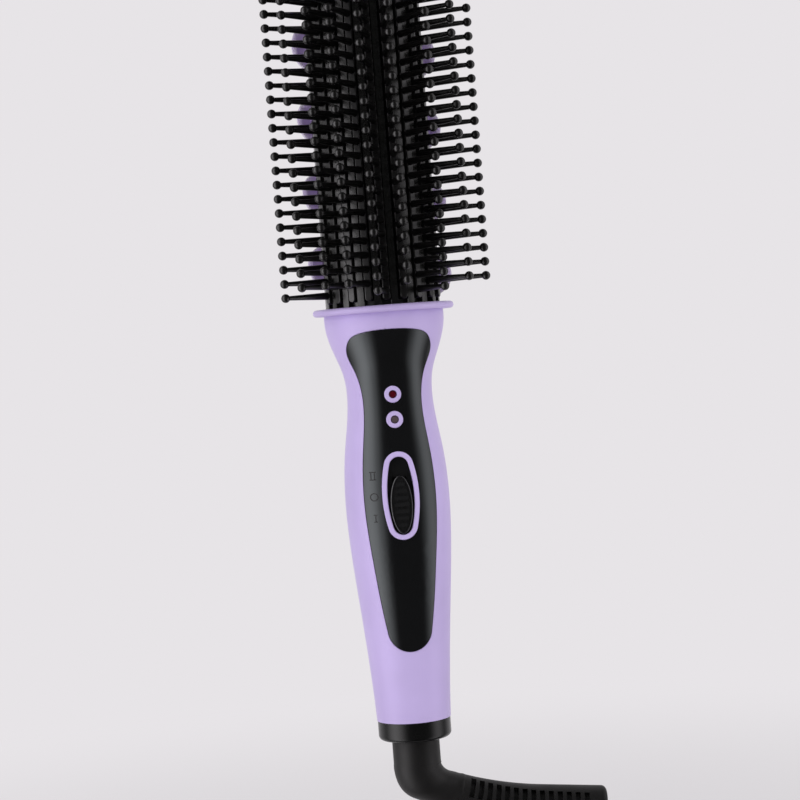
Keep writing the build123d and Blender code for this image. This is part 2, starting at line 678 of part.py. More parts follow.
def bristle_strip(first, lean):
    """A strip at the front with its row of bristles, the first at this height."""
    length = BARREL_LENGTH - 2 * STRIP_END_GAP
    outline = Plane.XZ * Rot(0, 0, 90) * SlotOverall(length, STRIP_WIDTH)
    strip = facing(Pos(0, 0, up(BARREL_LENGTH / 2)) * outline, GROOVE_FLOOR_RADIUS, STRIP_RADIUS)
    strip = Pos(STRIP_SHIFT, 0, 0) * fillet(strip.edges().group_by(Axis.Y)[0], STRIP_EDGE_ROUND)
    last = BARREL_LENGTH - STRIP_END_GAP - BRISTLE_PITCH / 2
    rows = int((last - first) / BRISTLE_PITCH) + 1
    return strip + [bristle(first + row * BRISTLE_PITCH, lean) for row in range(rows)]


def bristle_strips():
    strips = {}
    for index, (angle, ball_angle) in enumerate(zip(STRIP_ANGLES, BALL_ANGLES)):
        first = FIRST_BRISTLE_LOW if index in LOW_STRIPS else FIRST_BRISTLE_HIGH
        strip = bristle_strip(first, ball_angle - angle)
        strips[f"bristle_strip_{index + 1}"] = round_the_axis(strip, angle)
    return strips


def guard_edge(crest, side):
    """Wave-shaped edge of tangent arcs, from below the guard to above it."""
    middle = (GUARD_EDGE_WIDE + GUARD_EDGE_NARROW) / 2
    swing = (GUARD_EDGE_WIDE - GUARD_EDGE_NARROW) / 2

    def point(quarter):
        half_width = middle + swing * (0, 1, 0, -1)[quarter % 4]
        return side * half_width, 0, up(crest + (quarter - 1) * GUARD_WAVE_PITCH / 4)

    last = 4 * (math.ceil(BARREL_LENGTH / GUARD_WAVE_PITCH) + 1)
    return [ThreePointArc(point(start), point(start + 1), point(start + 2)) for start in range(-4, last, 2)]


def rear_guard():
    low, high = up(GUARD_END_GAP), up(BARREL_LENGTH - GUARD_END_GAP)
    shell = tube(GUARD_RADIUS, GUARD_RADIUS - GUARD_WALL, low, high)
    left, right = guard_edge(GUARD_CREST_LEFT, -1), guard_edge(GUARD_CREST_RIGHT, 1)
    outline = [*left, Line(left[-1] @ 1, right[-1] @ 1), *right, Line(right[0] @ 0, left[0] @ 0)]
    shell &= facing(make_face(Curve() + outline), -FAR, 0)
    inner, outer = BARREL_RADIUS + GUARD_TO_BARREL, GUARD_RADIUS - GUARD_WALL / 2
    half = GUARD_FIN_THICKNESS / 2
    fin = block((-half, half), (inner, outer), (up(0), up(BARREL_LENGTH)))
    for angle in GUARD_FIN_ANGLES:
        shell += round_the_axis(fin, angle)
    return shell


def tip_ring():
    low = up(BARREL_LENGTH)
    ring = bar(TIP_RING_RADIUS, low, low + TIP_RING_THICKNESS)
    ring = fillet(ring.edges().filter_by(GeomType.CIRCLE), TIP_RING_THICKNESS / 2 - FIT)
    return ring - bar(COLLAR_BORE, low - CUT, low + TIP_RING_THICKNESS + CUT)


def tip_cap():
    low = up(BARREL_LENGTH + TIP_RING_THICKNESS)
    high = low + TIP_CAP_LENGTH
    cap = bar(TIP_CAP_RADIUS, low, high)
    cap = fillet(cap.edges().group_by(Axis.Z)[-1], TIP_NOSE_RADIUS)
    hollow = bar(TIP_CAP_RADIUS - TIP_CAP_WALL, low - CUT, high - TIP_CAP_WALL)
    hollow = fillet(hollow.edges().group_by(Axis.Z)[-1], TIP_NOSE_RADIUS - TIP_CAP_WALL)
    cap = cap - hollow + bar(2 * TIP_SCREW_HEAD_RADIUS, low, high - TIP_CAP_WALL / 2)
    cap -= bar(TIP_SCREW_RADIUS + SCREW_GAP, low - CUT, high)
    cap -= bar(TIP_SCREW_HEAD_RADIUS + SCREW_GAP, tip_screw_seat(), high + CUT)
    return cap


def tip_screw_seat():
    return up(BARREL_LENGTH + TIP_RING_THICKNESS) + TIP_CAP_LENGTH / 2


def tip_screw():
    seat = tip_screw_seat()
    head = bar(TIP_SCREW_HEAD_RADIUS, seat, seat + 2.0)
    shank = bar(TIP_SCREW_RADIUS, up(BARREL_LENGTH - HEAD_PLUG_LENGTH) + 1.0, seat)
    return head + shank - Pos(0, 0, seat + 2.0) * extrude(Rectangle(3, 0.7) + Rectangle(0.7, 3), -1.0)


def barrel_foot():
    top, bottom = up(FOOT_HEIGHT), down(FOOT_DEPTH)
    foot = tube(FOOT_RADIUS, FOOT_BORE, bottom, top)
    groove_low, groove_high = down(RIB_DEPTH + RIB_THICKNESS) - FIT, down(RIB_DEPTH) + FIT
    foot -= tube(COLLAR_RADIUS, FOOT_GROOVE_RADIUS, groove_low, groove_high)
    foot += bar(FOOT_RADIUS - CUT, top - FOOT_WEB, top)
    for side in (-1, 1):
        y = side * (STONE_SIZE[1] + ELECTRODE_THICKNESS) / 2
        foot -= Pos(side * TAB_OFFSET, y, top) * Cylinder(WIRE_RADIUS + 0.2, 4 * FOOT_WEB)
    for angle in BARREL_SCREW_ANGLES:
        foot -= round_the_axis(barrel_screw(FIT), angle)
    return foot


def barrel_screws():
    return Compound([round_the_axis(barrel_screw(), angle) for angle in BARREL_SCREW_ANGLES])


def barrel_head():
    low, high = up(BARREL_LENGTH - HEAD_PLUG_LENGTH), up(BARREL_LENGTH + TIP_RING_THICKNESS)
    return bar(FOOT_RADIUS, low, high) - bar(TIP_SCREW_RADIUS + FIT, low - CUT, high + CUT)


def stack_half_thickness():
    """Half the thickness of the heater stack: stone, electrode and film."""
    return STONE_SIZE[1] / 2 + ELECTRODE_THICKNESS + FILM_THICKNESS


def stack_span():
    """Heights of the lowest and highest face of the heater stones."""
    length = STONE_COUNT * STONE_SIZE[2] + (STONE_COUNT - 1) * STONE_GAP
    middle = (SPREADER_LOW + SPREADER_HIGH) / 2
    return middle - length / 2, middle + length / 2


def heat_spreaders():
    """Two half-round bars that press on the heater and carry its heat to the barrel."""
    z = (up(SPREADER_LOW), up(SPREADER_HIGH))
    round_bar = bar(FOOT_RADIUS, *z)
    slot = stack_half_thickness() + FIT
    sides = ((slot, FAR), (-FAR, -slot))
    halves = [round_bar & block((-FAR, FAR), side, z) for side in sides]
    fuse_room = Pos(0, -FUSE_FRONT, up(SPREADER_LOW)) * Cylinder(FUSE_RADIUS + SCREW_GAP, 2 * FUSE_LENGTH)
    halves[0] -= fuse_room
    return Compound(halves)


def ptc_stones():
    low, _ = stack_span()
    stones = []
    for index in range(STONE_COUNT):
        z = low + STONE_SIZE[2] / 2 + index * (STONE_SIZE[2] + STONE_GAP)
        stones.append(Pos(0, 0, up(z)) * Box(*STONE_SIZE))
    return Compound(stones)


def heater_electrodes():
    low, high = stack_span()
    plates = []
    for side in (-1, 1):
        y = side * (STONE_SIZE[1] + ELECTRODE_THICKNESS) / 2
        plate = Pos(0, y, up((low + high) / 2)) * Box(ELECTRODE_WIDTH, ELECTRODE_THICKNESS, high - low)
        tab_low = SPREADER_LOW - 3
        tab = Box(TAB_WIDTH, ELECTRODE_THICKNESS, low - tab_low)
        plates.append(plate + Pos(side * TAB_OFFSET, y, up((low + tab_low) / 2)) * tab)
    return Compound(plates)


def heater_film():
    """Insulating sleeve round the heater stack."""
    low, high = stack_span()
    thickness, width = 2 * stack_half_thickness(), ELECTRODE_WIDTH + 2 * FILM_THICKNESS + 2 * FIT
    sleeve = Box(width, thickness, high - low)
    sleeve -= Box(width - 2 * FILM_THICKNESS, thickness - 2 * FILM_THICKNESS, high - low + CUT)
    return Pos(0, 0, up((low + high) / 2)) * sleeve


def thermal_fuse():
    """Fuse in the front spreader, its lead reaching down to the foot."""
    low = up(SPREADER_LOW)
    case = Pos(0, -FUSE_FRONT, low + FUSE_LENGTH / 2) * Cylinder(FUSE_RADIUS, FUSE_LENGTH)
    lead = Pos(0, -FUSE_FRONT, (low + up(FOOT_HEIGHT)) / 2) * Cylinder(0.4, low - up(FOOT_HEIGHT))
    return case + lead


# ---- swivel ---------------------------------------------------------------------------------
def end_cap():
    top = HANDLE_PROFILE[-1][0]
    disc = bar(END_CAP_RADIUS, down(END_CAP_DEPTH), down(top))
    disc = fillet(disc.edges().group_by(Axis.Z)[0], END_CAP_ROUND)
    cap = disc + bar(END_CAP_SPIGOT_RADIUS, down(top), down(END_CAP_SPIGOT_DEPTH))
    cap -= bar(NECK_RADIUS + NECK_FIT, down(END_CAP_DEPTH) - CUT, down(NECK_TOP_DEPTH) + SPRING_GAP)
    cap -= bar(STEM_TUBE_RADIUS + NECK_FIT, down(END_CAP_DEPTH), down(END_CAP_SPIGOT_DEPTH) + CUT)
    return cap - bar(RETAINER_RADIUS + SLIDE_GAP, down(LEDGE_TOP_DEPTH), down(END_CAP_SPIGOT_DEPTH) + CUT)


def swivel_stem():
    stem = bar(STEM_TUBE_RADIUS, down(NECK_TOP_DEPTH), down(STEM_TUBE_TOP_DEPTH))
    stem += bar(STEM_TUBE_SPIGOT_RADIUS, down(STEM_TUBE_BOTTOM_DEPTH), down(NECK_TOP_DEPTH))
    return stem - bar(STEM_TUBE_BORE, down(STEM_TUBE_BOTTOM_DEPTH) - CUT, down(STEM_TUBE_TOP_DEPTH) + CUT)


def swivel_retainer():
    low = down(LEDGE_TOP_DEPTH) + SPRING_GAP
    return tube(RETAINER_RADIUS, STEM_TUBE_RADIUS + FIT, low, low + RETAINER_THICKNESS)


def slip_rings():
    rings = []
    for depth in SLIP_RING_DEPTHS:
        low = down(depth + SLIP_RING_LENGTH)
        rings.append(tube(SLIP_RING_RADIUS, STEM_TUBE_RADIUS + FIT, low, down(depth)))
    return Compound(rings)


def contact_springs():
    """One leaf in front of the stem for the upper ring, one behind it for the lower."""
    springs = []
    inner = SLIP_RING_RADIUS + SPRING_GAP
    for side, depth in zip((1, -1), SLIP_RING_DEPTHS):
        ends = sorted((side * inner, side * (inner + SPRING_THICKNESS)))
        z = (down(depth + SLIP_RING_LENGTH), down(SPRING_TOP_DEPTH))
        springs.append(block((-SPRING_WIDTH / 2, SPRING_WIDTH / 2), ends, z))
    return Compound(springs)


def contact_carrier():
    carrier = bar(CARRIER_RADIUS, down(CARRIER_BOTTOM_DEPTH), down(CARRIER_TOP_DEPTH))
    for side in (1, -1):
        inner = SLIP_RING_RADIUS + SPRING_GAP
        ends = sorted((side * (inner - FIT), side * (inner + SPRING_THICKNESS + FIT)))
        half = SPRING_WIDTH / 2 + FIT
        z = (down(CARRIER_BOTTOM_DEPTH) - CUT, down(CARRIER_TOP_DEPTH) + CUT)
        carrier -= block((-half, half), ends, z)
    return carrier


def boot_path():
    """Centre line of the boot: the elbow, a long gentle bend and a straight end."""
    here, heading = Vector(0, 0, down(ELBOW_DEPTH)), -90.0
    parts = []
    for radius, turn in ((ELBOW_RADIUS, ELBOW_TURN), (BOOT_CURVE_RADIUS, BOOT_CURVE_TURN)):
        centre = here + level_vector(heading + 90) * radius
        points = [centre - level_vector(heading + 90 + turn * share) * radius for share in (0.5, 1)]
        parts.append(ThreePointArc(here, *points))
        here, heading = points[-1], heading + turn
    parts.append(Line(here, here + level_vector(heading) * BOOT_END_LENGTH))
    return Wire(parts)


def level_vector(angle):
    """Unit vector in the plane of X and Z at an angle above +X."""
    return Vector(math.cos(math.radians(angle)), 0, math.sin(math.radians(angle)))


def square_to(point, heading):
    """Plane through a point square to a heading, its Y axis level."""
    return Plane(point, x_dir=heading.cross(Vector(0, 1, 0)), z_dir=heading)


def across(path, distance):
    """Plane square to a path at a distance along it."""
    share = distance / path.length
    return square_to(path @ share, path % share)


def boot_radius(distance):
    """Section radius of the boot at a distance along its path."""
    for (s0, r0), (s1, r1) in zip(BOOT_TAPER, BOOT_TAPER[1:]):
        if distance <= s1:
            return r0 + (r1 - r0) * (distance - s0) / (s1 - s0)
    return BOOT_TAPER[-1][1]


def swivel_boot():
    path = boot_path()
    straight = path.length - BOOT_END_LENGTH
    elbow = []
    for x, drop, tilt, radius in ELBOW_SECTIONS:
        centre = Vector(x, 0, down(ELBOW_DEPTH + drop))
        elbow.append(square_to(centre, level_vector(tilt - 90)) * Circle(radius))
    arm = [across(path, min(distance, straight)) * Circle(radius) for distance, radius in BOOT_TAPER]
    boot = loft(elbow + arm[:1]) + loft(arm)
    end = Pos(0, 0, BOOT_END_LENGTH / 2) * Cone(BOOT_TAPER[-1][1], BOOT_END_RADIUS, BOOT_END_LENGTH)
    end = fillet(end.edges().group_by(Axis.Z)[-1], BOOT_END_ROUND)
    boot += across(path, straight) * end
    boot += bar(NECK_RADIUS, down(ELBOW_DEPTH), down(NECK_TOP_DEPTH))
    tools = []
    for index in range(SLOT_COUNT):
        distance = SLOT_FIRST + index * SLOT_PITCH
        first, last = SLOT_BELOW_TOP
        top = boot_radius(distance) - first - (last - first) * index / (SLOT_COUNT - 1)
        slot = Pos(top - SLOT_LENGTH / 2, 0, 0) * Box(SLOT_LENGTH, FAR, SLOT_WIDTH)
        slot -= Box(FAR, SLOT_WEB, FAR) + Cylinder(SLOT_CORE_RADIUS, FAR)
        tools.append(across(path, distance) * slot)
    boot -= tools
    socket = down(STEM_TUBE_BOTTOM_DEPTH) - FIT
    boot -= bar(STEM_TUBE_SPIGOT_RADIUS + FIT, socket, down(NECK_TOP_DEPTH) + CUT)
    bore = sweep(across(path, 0) * Circle(CORD_BORE_RADIUS), path=path)
    bore += bar(CORD_BORE_RADIUS, down(ELBOW_DEPTH), down(STEM_TUBE_BOTTOM_DEPTH))
    return boot - bore


# ---- assembly -------------------------------------------------------------------------------
def build():
    nodes = {
        "front_shell": front_shell(),
        "rear_shell": rear_shell(),
        "shell_screws": shell_screws(),
        "collar": collar(),
        "control_panel": control_panel(),
        "indicator_rings": indicator_rings(),
        "heat_lens": indicator_lens(INDICATOR_DEPTHS[0]),
        "power_lens": indicator_lens(INDICATOR_DEPTHS[1]),
        "indicator_leds": indicator_leds(),
        "switch_bezel": switch_bezel(),
        "switch_well": switch_well(),
        "switch_knob": switch_knob(),
        "slide_switch": slide_switch(),
        "slide_lever": slide_lever(),
        "circuit_board": circuit_board(),
        "board_screws": board_screws(),
        "heater_wires": heater_wires(),
        "mains_wires": mains_wires(),
        "heater_barrel": heater_barrel(),
        "rear_guard": rear_guard(),
        "tip_ring": tip_ring(),
        "tip_cap": tip_cap(),
        "tip_screw": tip_screw(),
        "barrel_foot": barrel_foot(),
        "barrel_screws": barrel_screws(),
        "barrel_head": barrel_head(),
        "heat_spreaders": heat_spreaders(),
        "ptc_stones": ptc_stones(),
        "heater_electrodes": heater_electrodes(),
        "heater_film": heater_film(),
        "thermal_fuse": thermal_fuse(),
        "end_cap": end_cap(),
        "contact_carrier": contact_carrier(),
        "contact_springs": contact_springs(),
        "swivel_stem": swivel_stem(),
        "swivel_retainer": swivel_retainer(),
        "slip_rings": slip_rings(),
        "swivel_boot": swivel_boot(),
    }
    nodes.update(bristle_strips())
    return nodes


os.makedirs("parts", exist_ok=True)
for name, shape in build().items():
    export_step(shape, f"parts/{name}.step")
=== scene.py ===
import json
import math

import bmesh
import bpy
from mathutils import Matrix, Vector
from mathutils.bvhtree import BVHTree


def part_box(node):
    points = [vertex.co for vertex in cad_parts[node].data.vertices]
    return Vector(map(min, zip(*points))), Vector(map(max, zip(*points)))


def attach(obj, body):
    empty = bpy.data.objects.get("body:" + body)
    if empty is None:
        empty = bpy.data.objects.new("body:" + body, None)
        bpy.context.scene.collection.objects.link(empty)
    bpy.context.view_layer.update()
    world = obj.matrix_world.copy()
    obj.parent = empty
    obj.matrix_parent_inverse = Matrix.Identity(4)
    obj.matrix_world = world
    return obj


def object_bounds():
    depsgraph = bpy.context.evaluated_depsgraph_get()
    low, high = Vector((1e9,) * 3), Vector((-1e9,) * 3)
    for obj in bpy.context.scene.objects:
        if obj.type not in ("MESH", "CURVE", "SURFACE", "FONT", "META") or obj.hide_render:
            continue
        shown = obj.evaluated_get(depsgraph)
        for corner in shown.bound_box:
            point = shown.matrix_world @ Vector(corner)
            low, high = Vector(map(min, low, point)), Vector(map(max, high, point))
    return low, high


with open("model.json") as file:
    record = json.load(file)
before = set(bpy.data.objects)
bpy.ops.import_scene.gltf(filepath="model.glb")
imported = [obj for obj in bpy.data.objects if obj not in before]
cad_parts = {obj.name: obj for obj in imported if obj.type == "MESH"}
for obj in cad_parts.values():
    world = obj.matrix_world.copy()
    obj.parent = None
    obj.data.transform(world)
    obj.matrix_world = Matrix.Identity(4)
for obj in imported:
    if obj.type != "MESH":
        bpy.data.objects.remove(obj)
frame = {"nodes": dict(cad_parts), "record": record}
cad_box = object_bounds()
nodes = frame["nodes"]
MM = 0.001

# ---- photograph's frame -----------------------------------------------------------------------
PICTURE = 800  # width and height of the picture, in its own pixels
SCALE = 3.4  # pixels to a millimetre at the collar
FOCAL = 2237.0  # pixels
COLLAR_TOP = Vector((0, 0, 62.0))  # millimetres
COLLAR_AT = (382.9, 305.8)  # where it lies in the picture
SPIN, LEAN, ROLL = (math.radians(a) for a in (4.2, 1.5, 4.32))
SENSOR = 36.0


def set_camera():
    spin = Matrix.Rotation(SPIN, 3, "Z")
    lean = Matrix.Rotation(LEAN, 3, "X")
    roll = Matrix.Rotation(-ROLL, 3, "Y")
    turn = roll @ lean @ spin
    half = PICTURE / 2
    offset = Vector(((COLLAR_AT[0] - half) / SCALE, FOCAL / SCALE, (half - COLLAR_AT[1]) / SCALE))
    back = turn.transposed()
    right, forward, above = (back @ Vector(v) for v in ((1, 0, 0), (0, 1, 0), (0, 0, 1)))
    place = (COLLAR_TOP - back @ offset) * MM
    data = bpy.data.cameras.new("camera")
    data.sensor_fit = "HORIZONTAL"
    data.sensor_width = SENSOR
    data.lens = FOCAL * SENSOR / PICTURE
    data.clip_start, data.clip_end = 0.01, 20
    camera = bpy.data.objects.new("camera", data)
    camera.matrix_world = Matrix(
        (
            (right.x, above.x, -forward.x, place.x),
            (right.y, above.y, -forward.y, place.y),
            (right.z, above.z, -forward.z, place.z),
            (0, 0, 0, 1),
        )
    )
    bpy.context.scene.collection.objects.link(camera)
    bpy.context.scene.camera = camera


# ---- node helpers -----------------------------------------------------------------------------
def srgb(r, g, b):
    """Linear colour of three 0 to 255 values."""
    out = []
    for value in (r, g, b):
        c = value / 255
        out.append(c / 12.92 if c <= 0.04045 else ((c + 0.055) / 1.055) ** 2.4)
    return (*out, 1.0)


class Graph:
    """Short calls for building a node tree."""

    def __init__(self, tree):
        self.tree = tree
        tree.nodes.clear()

    def node(self, kind, inputs=None, **settings):
        made = self.tree.nodes.new(kind)
        for key, value in settings.items():
            setattr(made, key, value)
        for key, value in (inputs or {}).items():
            if isinstance(value, bpy.types.NodeSocket):
                self.tree.links.new(value, made.inputs[key])
            else:
                made.inputs[key].default_value = value
        return made

    def math(self, operation, a, b=0.0, clamp=False):
        return self.node("ShaderNodeMath", {0: a, 1: b}, operation=operation, use_clamp=clamp).outputs[0]

    def place(self, kind="Object"):
        return self.node("ShaderNodeTexCoord").outputs[kind]

    def noise(self, scale, detail=2.0, stretch=(1, 1, 1)):
        mapped = self.node("ShaderNodeMapping", {"Vector": self.place(), "Scale": stretch}).outputs[0]
        inputs = {"Vector": mapped, "Scale": scale, "Detail": detail}
        return self.node("ShaderNodeTexNoise", inputs).outputs[0]

    def fade(self, value, start, end, low=0.0, high=1.0):
        """Smooth step from low to high while the value goes from start to end."""
        inputs = {"Value": value, "From Min": start, "From Max": end, "To Min": low, "To Max": high}
        return self.node("ShaderNodeMapRange", inputs, interpolation_type="SMOOTHSTEP").outputs[0]

    def spread(self, value, low, high):
        """Maps the middle of a noise onto a range."""
        inputs = {"Value": value, "From Min": 0.3, "From Max": 0.7, "To Min": low, "To Max": high}
        return self.node("ShaderNodeMapRange", inputs).outputs[0]

    def tint(self, value, dark, light):
        mix = self.node("ShaderNodeMix", data_type="RGBA")
        self.tree.links.new(value, mix.inputs["Factor"])
        mix.inputs[6].default_value, mix.inputs[7].default_value = dark, light
        return mix.outputs[2]

    def blend(self, factor, first, second):
        """Mixes two shaders."""
        return self.node("ShaderNodeMixShader", {0: factor, 1: first, 2: second}).outputs[0]

    def finish(self, kind, shader):
        out = self.node(kind)
        self.tree.links.new(shader, out.inputs["Surface"])


def shade(color, factor):
    return (*[channel * factor for channel in color[:3]], 1.0)


# ---- finishes ---------------------------------------------------------------------------------
SEAM_HALF = 0.16 * MM
SEAM_DEPTH = 0.12 * MM


def seam(g):
    """Groove along the plane where the two handle shells meet."""
    y = g.node("ShaderNodeSeparateXYZ", {0: g.place()}).outputs["Y"]
    near = g.math("DIVIDE", g.math("ABSOLUTE", y), SEAM_HALF)
    return g.math("MULTIPLY", g.math("MINIMUM", near, 1.0), SEAM_DEPTH)


def make_material(name, color, rough, grain, vary=0.06, vary_scale=40.0, extra=None, **sockets):
    """Procedural moulded or coated finish: uneven colour and roughness with a fine grain.

    The grain is its height in millimetres and its scale.
    """
    material = bpy.data.materials.new(name)
    material.use_nodes = True
    g = Graph(material.node_tree)
    shader = g.node("ShaderNodeBsdfPrincipled")
    tint = g.tint(g.spread(g.noise(vary_scale, 3.0), 0, 1), shade(color, 1 - vary), shade(color, 1 + vary))
    g.tree.links.new(tint, shader.inputs["Base Color"])
    rough_map = g.spread(g.noise(vary_scale * 4, 4.0), rough * 0.9, rough * 1.12)
    g.tree.links.new(rough_map, shader.inputs["Roughness"])
    height = g.math("MULTIPLY", g.noise(grain[1], 2.0), grain[0] * MM)
    if extra:
        height = g.math("ADD", height, extra(g))
    bump = g.node("ShaderNodeBump", {"Height": height, "Strength": 1.0, "Distance": 1.0})
    g.tree.links.new(bump.outputs[0], shader.inputs["Normal"])
    for key, value in sockets.items():
        shader.inputs[key.replace("_", " ")].default_value = value
    g.finish("ShaderNodeOutputMaterial", shader.outputs[0])
    return material


# Grains
FINE, SOFT, COARSE = (0.004, 2500.0), (0.0006, 700.0), (0.012, 1800.0)
SMOOTH, SILKY = (0.001, 2500.0), (0.002, 2500.0)
LILAC = srgb(202, 184, 235)
PANEL_GLOSS = {"vary_scale": 60.0, "Specular_Tint": (0.9, 0.98, 1.0, 1.0)}
GUARD_GLOW = {"Subsurface_Weight": 0.7, "Subsurface_Scale": 0.006, "Subsurface_Radius": (1, 1, 1)}
LENS = {"Transmission_Weight": 0.3, "IOR": 1.49}
METAL = {"Metallic": 1.0}
# Colour, roughness, grain and the other settings of each finish
FINISHES = {
    "lilac_plastic": (LILAC, 0.42, FINE, {"Specular_IOR_Level": 0.4}),
    "lilac_shell": (LILAC, 0.42, FINE, {"extra": seam, "Specular_IOR_Level": 0.4}),
    "panel_gloss": (srgb(17, 17, 18), 0.16, SOFT, PANEL_GLOSS),
    "black_plastic": (srgb(20, 20, 21), 0.34, FINE, {}),
    "cap_gloss": (srgb(14, 14, 14), 0.26, SMOOTH, {"Specular_IOR_Level": 0.3}),
    "knob_plastic": (srgb(24, 24, 25), 0.2, SMOOTH, {"Specular_IOR_Level": 0.8}),
    "lilac_guard": (LILAC, 0.42, FINE, GUARD_GLOW),
    "barrel_coated": (srgb(22, 22, 21), 0.24, SILKY, {}),
    "bristle_nylon": (srgb(14, 13, 13), 0.3, (0.003, 2500.0), {"vary_scale": 120.0}),
    "boot_rubber": (srgb(24, 23, 23), 0.5, COARSE, {"Specular_IOR_Level": 0.25}),
    "panel_mark": (srgb(9, 9, 10), 0.6, COARSE, {}),
    "red_lens": (srgb(96, 8, 26), 0.1, SOFT, LENS),
    "clear_lens": (srgb(104, 90, 92), 0.18, SOFT, LENS),
    "screw_steel": (srgb(176, 176, 180), 0.3, FINE, METAL),
    "board_green": (srgb(40, 110, 60), 0.35, FINE, {}),
    "wire_white": (srgb(220, 220, 216), 0.5, FINE, {}),
    "insulator": (srgb(92, 88, 84), 0.5, COARSE, {}),
    "bare_aluminium": (srgb(205, 205, 208), 0.32, FINE, METAL),
    "ceramic": (srgb(140, 136, 130), 0.6, COARSE, {}),
    "film_amber": (srgb(200, 130, 40), 0.3, FINE, {}),
    "contact_brass": (srgb(214, 176, 92), 0.25, FINE, METAL),
}
materials = {name: make_material(name, *look[:3], **look[3]) for name, look in FINISHES.items()}
# Pieces whose finish is not their slot's
OWN_FINISHES = {
    "front_shell": "lilac_shell",
    "rear_shell": "lilac_shell",
    "rear_guard": "lilac_guard",
    "switch_knob": "knob_plastic",
}


def dress_nodes():
    """Gives every carried-over node its finish."""
    slots = {row["node"]: row["material_slot"] for row in frame["record"]["subparts"]}
    for name, piece in nodes.items():
        piece.data.materials.clear()
        piece.data.materials.append(materials[OWN_FINISHES.get(name, slots[name])])


# ---- marks on the control panel ---------------------------------------------------------------
MARK_WIDTH = 0.3  # millimetres, like all the sizes of the marks
MARK_PROUD, MARK_SUNK = 0.03, 0.05
MARK_STEP = 0.2  # between two sections of a stroke
MARK_X = -7.6
MARK_RISES = {"mark_two": 6.1, "mark_off": 0.0, "mark_one": -6.2}  # from the middle of the bezel
RAY_START = -0.06  # metres, in front of the whole handle


def surface_of(node):
    mesh = nodes[node].data
    return BVHTree.FromPolygons([v.co for v in mesh.vertices], [p.vertices for p in mesh.polygons])


def on_front(tree, x, z):
    """Point and normal of a surface met by a ray from the front at x and z."""
    hit, normal, _, _ = tree.ray_cast(Vector((x, RAY_START, z)), Vector((0, 1, 0)))
    return hit, -normal if normal.y > 0 else normal


def numeral_strokes(bars, half_height, gap, serif):
    """Upright bars with a serif across their tops and feet."""
    middles = [(index - (bars - 1) / 2) * gap for index in range(bars)]
    strokes = [[(x, -half_height), (x, half_height)] for x in middles]
    reach = middles[-1] + serif
    return strokes + [[(-reach, level), (reach, level)] for level in (-half_height, half_height)]


def ring_stroke(radius, points=24):
    turns = [math.tau * index / points for index in range(points + 1)]
    return [[(radius * math.cos(turn), radius * math.sin(turn)) for turn in turns]]


def resampled(stroke):
    """Points along a stroke, no further apart than one step."""
    points = [Vector(stroke[0])]
    for start, end in zip(stroke, stroke[1:]):
        start, end = Vector(start), Vector(end)
        count = max(1, math.ceil((end - start).length / MARK_STEP))
        points += [start.lerp(end, (index + 1) / count) for index in range(count)]
    return points


def add_stroke(bm, tree, middle, stroke):
    """Thin closed bar that follows the panel's surface along a stroke."""
    points = resampled(stroke)
    closed = (points[0] - points[-1]).length < 1e-6
    sections = []
    for index, point in enumerate(points[:-1] if closed else points):
        before = points[index - 1] if index else points[-2] if closed else point
        after = points[min(index + 1, len(points) - 1)]
        along = (after - before).normalized()
        aside = Vector((-along.y, along.x)) * MARK_WIDTH / 2
        corners = []
        for side in (1, -1):
            x, z = (middle + point + side * aside) * MM
            hit, normal = on_front(tree, x, z)
            corners += [hit + normal * rise * MM for rise in (MARK_PROUD, -MARK_SUNK)[::side]]
        sections.append([bm.verts.new(corner) for corner in corners])
    pairs = list(zip(sections, sections[1:]))
    if closed:
        pairs.append((sections[-1], sections[0]))
    else:
        bm.faces.new(sections[0])
        bm.faces.new(sections[-1][::-1])
    for near, far in pairs:
        for a in range(4):
            b = (a + 1) % 4
            bm.faces.new((near[a], near[b], far[b], far[a]))


def add_marks():
    """Switch marks beside the bezel: two bars, a ring and one bar."""
    tree = surface_of("control_panel")
    low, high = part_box("switch_bezel")
    level = (low[2] + high[2]) / 2 / MM
    shapes = {
        "mark_two": numeral_strokes(2, 1.1, 1.0, 0.45),
        "mark_off": ring_stroke(1.05),
        "mark_one": numeral_strokes(1, 1.0, 0.0, 0.5),
    }
    for name, strokes in shapes.items():
        bm = bmesh.new()
        for stroke in strokes:
            add_stroke(bm, tree, Vector((MARK_X, level + MARK_RISES[name])), stroke)
        bmesh.ops.recalc_face_normals(bm, faces=bm.faces)
        mesh = bpy.data.meshes.new(name)
        bm.to_mesh(mesh)
        bm.free()
        add_piece(name, mesh, "panel_mark", "brush")


def add_piece(name, mesh, material, body):
    piece = bpy.data.objects.new(name, mesh)
    bpy.context.scene.collection.objects.link(piece)
    mesh.materials.append(materials[material])
    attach(piece, body)
    return piece


# ---- stage ------------------------------------------------------------------------------------
BACKGROUND = srgb(231, 228, 231)
FILL = 0.74  # radiance that lights the object evenly
DARK_FRONT = 0.05  # what gloss shows of the room in front
# Tall soft reflections as (azimuth from the front, half width, radiance), positive to +X
GLOW_LOBES = ((-68.0, 44.0, 4.4), (74.0, 32.0, 2.4))
BEHIND = (95.0, 125.0)  # azimuths over which gloss goes over to the pale background
FLOOR_DROP = 0.03
FLOOR_HALF = 3.0
SHADOW_REACH = (0.12, 0.45)  # distances over which the floor goes over to its plain colour
LAMP_TARGET = Vector((0, 0, 0.05))
# Name, azimuth, height, distance, width, tall and radiance of each softbox
SOFTBOXES = (
    ("key_left", -50, 0.4, 1.2, 1.0, 1.3, 0.9),
    ("fill_right", 60, 0.3, 1.2, 0.9, 1.2, 0.4),
    ("top", 10, 1.3, 0.5, 1.0, 1.0, 0.6),
)


